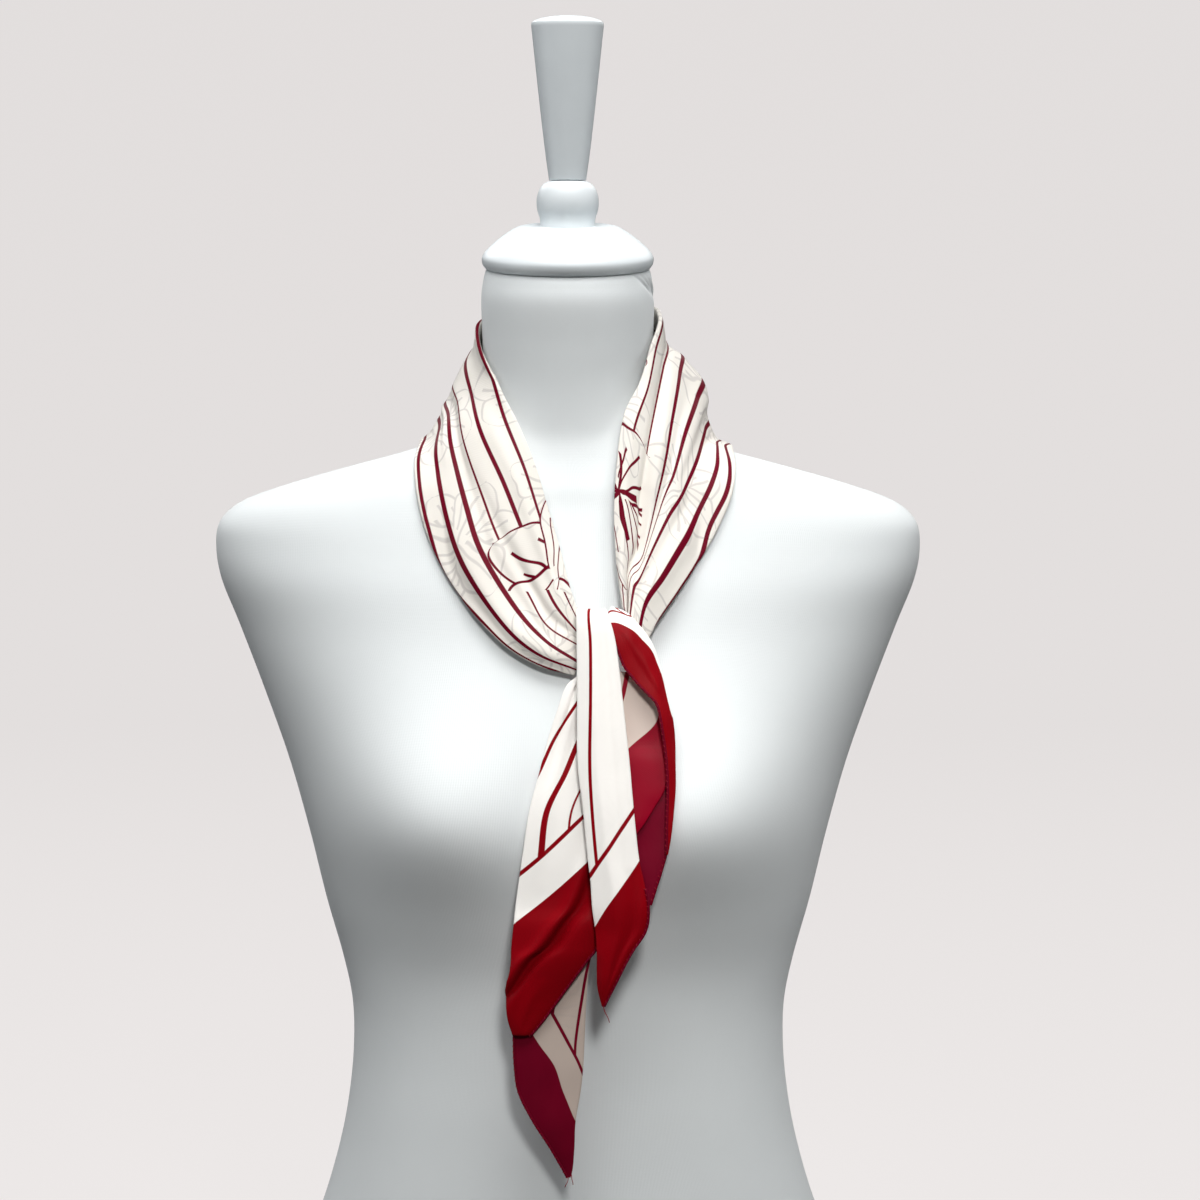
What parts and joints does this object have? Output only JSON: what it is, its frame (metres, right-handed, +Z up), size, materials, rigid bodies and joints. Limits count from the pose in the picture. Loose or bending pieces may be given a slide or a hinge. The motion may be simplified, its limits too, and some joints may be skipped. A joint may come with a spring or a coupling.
{
  "type": "silk square scarf on a limbless dress form",
  "caption": "Silk twill square with a crimson border and stripes, folded to a band and knotted at the front of a jersey-covered dress form with a turned handle.",
  "frame": {"origin": "middle of the dress form's flat underside", "axes": "+Z up, +X to the viewer's right when the knot faces the viewer, -Y towards the front, where the knot and tails are"},
  "size_m": [0.412, 0.2532, 0.8526],
  "materials": {
    "silk": "cream silk twill with thin crimson stripes and line flowers, soft sheen",
    "silk_border": "crimson printed border of the same silk twill, hand-rolled hem",
    "jersey_cover": "off-white fine jersey, matt",
    "painted_wood": "turned wood in satin white paint"
  },
  "bodies": {
    "root": {"scarf_left_band": "silk", "scarf_back_band": "silk", "scarf_right_band": "silk", "scarf_knot_core": "silk", "scarf_front_tail": "silk", "scarf_front_tail_flap": "silk_border", "scarf_front_tail_back": "silk_border", "scarf_rear_tail": "silk", "scarf_rear_tail_corner": "silk_border", "form_torso": "jersey_cover", "form_neck_cap": "painted_wood", "form_finial_bead": "painted_wood", "form_finial_handle": "painted_wood"}
  },
  "joints": []
}
